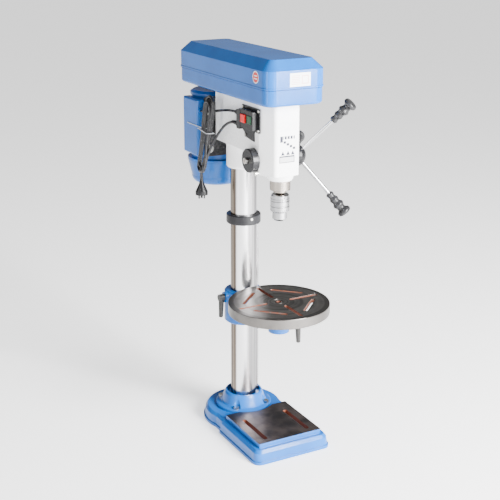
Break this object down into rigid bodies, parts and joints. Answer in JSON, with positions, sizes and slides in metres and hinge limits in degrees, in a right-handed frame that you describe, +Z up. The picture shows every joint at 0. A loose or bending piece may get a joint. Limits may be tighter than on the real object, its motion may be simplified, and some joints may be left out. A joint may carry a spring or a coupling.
{
  "type": "drill press",
  "caption": "Floor-standing belt-drive drill press: blue slotted base, steel column with rack, round slotted table, white head, keyed chuck, feed handles and long belt cover.",
  "frame": {"origin": "on the column's axis at the underside of the base", "axes": "+Z up along the column, -Y towards the operator, +X to the operator's right"},
  "size_m": [0.3622, 0.6442, 1.18],
  "materials": {
    "blue_paint": "gloss",
    "white_paint": "gloss",
    "zinc_steel": "satin",
    "ground_steel": "polished",
    "black_iron": "satin",
    "black_plastic": "gloss",
    "belt_rubber": "matte",
    "cord_sheath": "satin",
    "tie_wire": "matte",
    "cast_iron": "machined",
    "chuck_steel": "polished",
    "chrome": "polished",
    "pulley_alloy": "satin",
    "red_plastic": "gloss",
    "green_plastic": "gloss"
  },
  "bodies": {
    "stand": {"base_casting": "blue_paint", "column_flange": "blue_paint", "flange_bolts": "zinc_steel", "column_tube": "ground_steel", "rack_ring": "black_iron", "lock_screws": "zinc_steel", "head_casting": "white_paint", "spring_cap": "black_plastic", "cover_pan": "blue_paint", "hinge_pan_leaves": "black_iron", "idler_arm": "zinc_steel", "front_belt": "belt_rubber", "rear_belt": "belt_rubber", "switch_plate": "black_plastic", "switch_box": "black_plastic", "switch_screws": "zinc_steel", "cable_glands": "black_plastic", "motor_cable": "cord_sheath", "mains_cord": "cord_sheath", "cord_hank": "cord_sheath", "cord_tie": "tie_wire", "plug_lead": "cord_sheath", "power_plug": "black_plastic"},
    "rack": {"column_rack": "ground_steel"},
    "bracket": {"table_bracket": "blue_paint"},
    "gear": {"elevation_gear": "zinc_steel"},
    "crank": {"elevation_crank": "black_iron"},
    "crank_handle": {"crank_grip": "black_plastic"},
    "clamp": {"clamp_lever": "black_iron"},
    "table_lock": {"table_lock_lever": "black_iron"},
    "table": {"round_table": "cast_iron"},
    "quill": {"quill": "ground_steel"},
    "spindle": {"spindle": "ground_steel", "chuck_body": "chuck_steel"},
    "sleeve": {"chuck_sleeve": "chuck_steel"},
    "jaw_1": {"chuck_jaw_1": "chuck_steel"},
    "jaw_2": {"chuck_jaw_2": "chuck_steel"},
    "jaw_3": {"chuck_jaw_3": "chuck_steel"},
    "feed": {"feed_shaft": "ground_steel", "feed_hub": "black_plastic", "feed_rods": "chrome", "feed_grips": "black_plastic", "spring_nuts": "zinc_steel"},
    "depth_stop": {"depth_collar": "zinc_steel"},
    "spindle_drive": {"spindle_pulley": "pulley_alloy"},
    "idler": {"idler_pulley": "pulley_alloy"},
    "motor": {"motor_body": "blue_paint", "fan_cowl": "blue_paint", "terminal_box": "blue_paint", "motor_plate": "black_iron", "motor_bolts": "zinc_steel", "slide_rods": "chrome"},
    "rotor": {"motor_shaft": "ground_steel", "motor_pulley": "pulley_alloy"},
    "lid": {"cover_lid": "blue_paint", "hinge_lid_leaves": "black_iron"},
    "latch": {"latch_knob": "black_plastic"},
    "stop": {"stop_button": "red_plastic"},
    "start": {"start_button": "green_plastic"},
    "tension": {"tension_knob": "black_plastic"}
  },
  "joints": [
    {"name": "table_swing", "type": "hinge", "parent": "stand", "child": "rack", "pos_m": [0, 0, 0.3], "axis": [0, 0, 1], "range_deg": [-120, 120]},
    {"name": "table_lift", "type": "slide", "parent": "rack", "child": "bracket", "axis": [0, 0, 1], "range_m": [-0.199, 0.199]},
    {"name": "crank_turn", "type": "hinge", "parent": "bracket", "child": "crank", "pos_m": [0.1, 0, 0.3526], "axis": [1, 0, 0], "range_deg": [-9180, 9180]},
    {"name": "gear_turn", "type": "hinge", "parent": "bracket", "child": "gear", "pos_m": [0.062, 0, 0.378], "axis": [0, 1, 0], "range_deg": [-766, 766]},
    {"name": "crank_handle_spin", "type": "hinge", "parent": "crank", "child": "crank_handle", "pos_m": [0.137, 0.04474, 0.28871], "axis": [1, 0, 0], "continuous": true},
    {"name": "clamp_lever_turn", "type": "hinge", "parent": "bracket", "child": "clamp", "pos_m": [-0.078, 0, 0.412], "axis": [1, 0, 0], "range_deg": [-30, 90]},
    {"name": "table_lock_turn", "type": "hinge", "parent": "bracket", "child": "table_lock", "pos_m": [0.066, -0.222, 0.384], "axis": [1, 0, 0], "range_deg": [-90, 30]},
    {"name": "table_turn", "type": "hinge", "parent": "bracket", "child": "table", "pos_m": [0, -0.222, 0.4], "axis": [0, 0, 1], "continuous": true},
    {"name": "feed_turn", "type": "hinge", "parent": "stand", "child": "feed", "pos_m": [0, -0.18, 0.884], "axis": [1, 0, 0], "range_deg": [0, 381], "stiffness_Nm_per_rad": 0.12, "springref_deg": -458.37},
    {"name": "quill_feed", "type": "slide", "parent": "stand", "child": "quill", "axis": [0, 0, -1], "range_m": [0, 0.08]},
    {"name": "depth_stop_turn", "type": "hinge", "parent": "feed", "child": "depth_stop", "pos_m": [0.064, -0.18, 0.884], "axis": [1, 0, 0], "range_deg": [-170, 170]},
    {"name": "spindle_spin", "type": "hinge", "parent": "quill", "child": "spindle", "pos_m": [0, -0.222, 0.8], "axis": [0, 0, 1], "continuous": true},
    {"name": "sleeve_turn", "type": "hinge", "parent": "spindle", "child": "sleeve", "pos_m": [0, -0.222, 0.755], "axis": [0, 0, 1], "range_deg": [0, 1080]},
    {"name": "jaw_1_close", "type": "slide", "parent": "spindle", "child": "jaw_1", "axis": [0, -0.2588, -0.9659], "range_m": [0, 0.013]},
    {"name": "jaw_2_close", "type": "slide", "parent": "spindle", "child": "jaw_2", "axis": [0.2241, 0.1294, -0.9659], "range_m": [0, 0.013]},
    {"name": "jaw_3_close", "type": "slide", "parent": "spindle", "child": "jaw_3", "axis": [-0.2241, 0.1294, -0.9659], "range_m": [0, 0.013]},
    {"name": "motor_spin", "type": "hinge", "parent": "motor", "child": "rotor", "pos_m": [0, 0.178, 1], "axis": [0, 0, 1], "continuous": true},
    {"name": "idler_spin", "type": "hinge", "parent": "stand", "child": "idler", "pos_m": [0, -0.02, 1.09], "axis": [0, 0, 1], "continuous": true},
    {"name": "spindle_pulley_spin", "type": "hinge", "parent": "stand", "child": "spindle_drive", "pos_m": [0, -0.222, 1.09], "axis": [0, 0, 1], "continuous": true},
    {"name": "motor_tension", "type": "slide", "parent": "stand", "child": "motor", "axis": [0, -1, 0], "range_m": [0, 0.01]},
    {"name": "tension_lock_turn", "type": "hinge", "parent": "stand", "child": "tension", "pos_m": [0.08, 0.046, 0.935], "axis": [1, 0, 0], "range_deg": [-90, 90]},
    {"name": "lid_open", "type": "hinge", "parent": "stand", "child": "lid", "pos_m": [0, 0.268, 1.101], "axis": [-1, 0, 0], "range_deg": [0, 95]},
    {"name": "latch_turn", "type": "hinge", "parent": "stand", "child": "latch", "pos_m": [0.1, -0.244, 1.085], "axis": [1, 0, 0], "range_deg": [0, 90]},
    {"name": "stop_press", "type": "slide", "parent": "stand", "child": "stop", "axis": [1, 0, 0], "range_m": [0, 0.003], "stiffness_N_per_m": 500, "springref_m": -0.002},
    {"name": "start_press", "type": "slide", "parent": "stand", "child": "start", "axis": [1, 0, 0], "range_m": [0, 0.0015], "stiffness_N_per_m": 500, "springref_m": -0.002}
  ],
  "couplings": [
    {"joint": "crank_turn", "follows": "table_lift", "rad_per_m": 800},
    {"joint": "gear_turn", "follows": "table_lift", "rad_per_m": -66.667},
    {"joint": "quill_feed", "follows": "feed_turn", "m_per_rad": 0.012},
    {"joint": "idler_spin", "follows": "motor_spin", "ratio": 0.53846},
    {"joint": "spindle_pulley_spin", "follows": "motor_spin", "ratio": 0.44056},
    {"joint": "spindle_spin", "follows": "motor_spin", "ratio": 0.44056},
    {"joint": "jaw_1_close", "follows": "sleeve_turn", "m_per_rad": 0.00068},
    {"joint": "jaw_2_close", "follows": "sleeve_turn", "m_per_rad": 0.00068},
    {"joint": "jaw_3_close", "follows": "sleeve_turn", "m_per_rad": 0.00068}
  ]
}
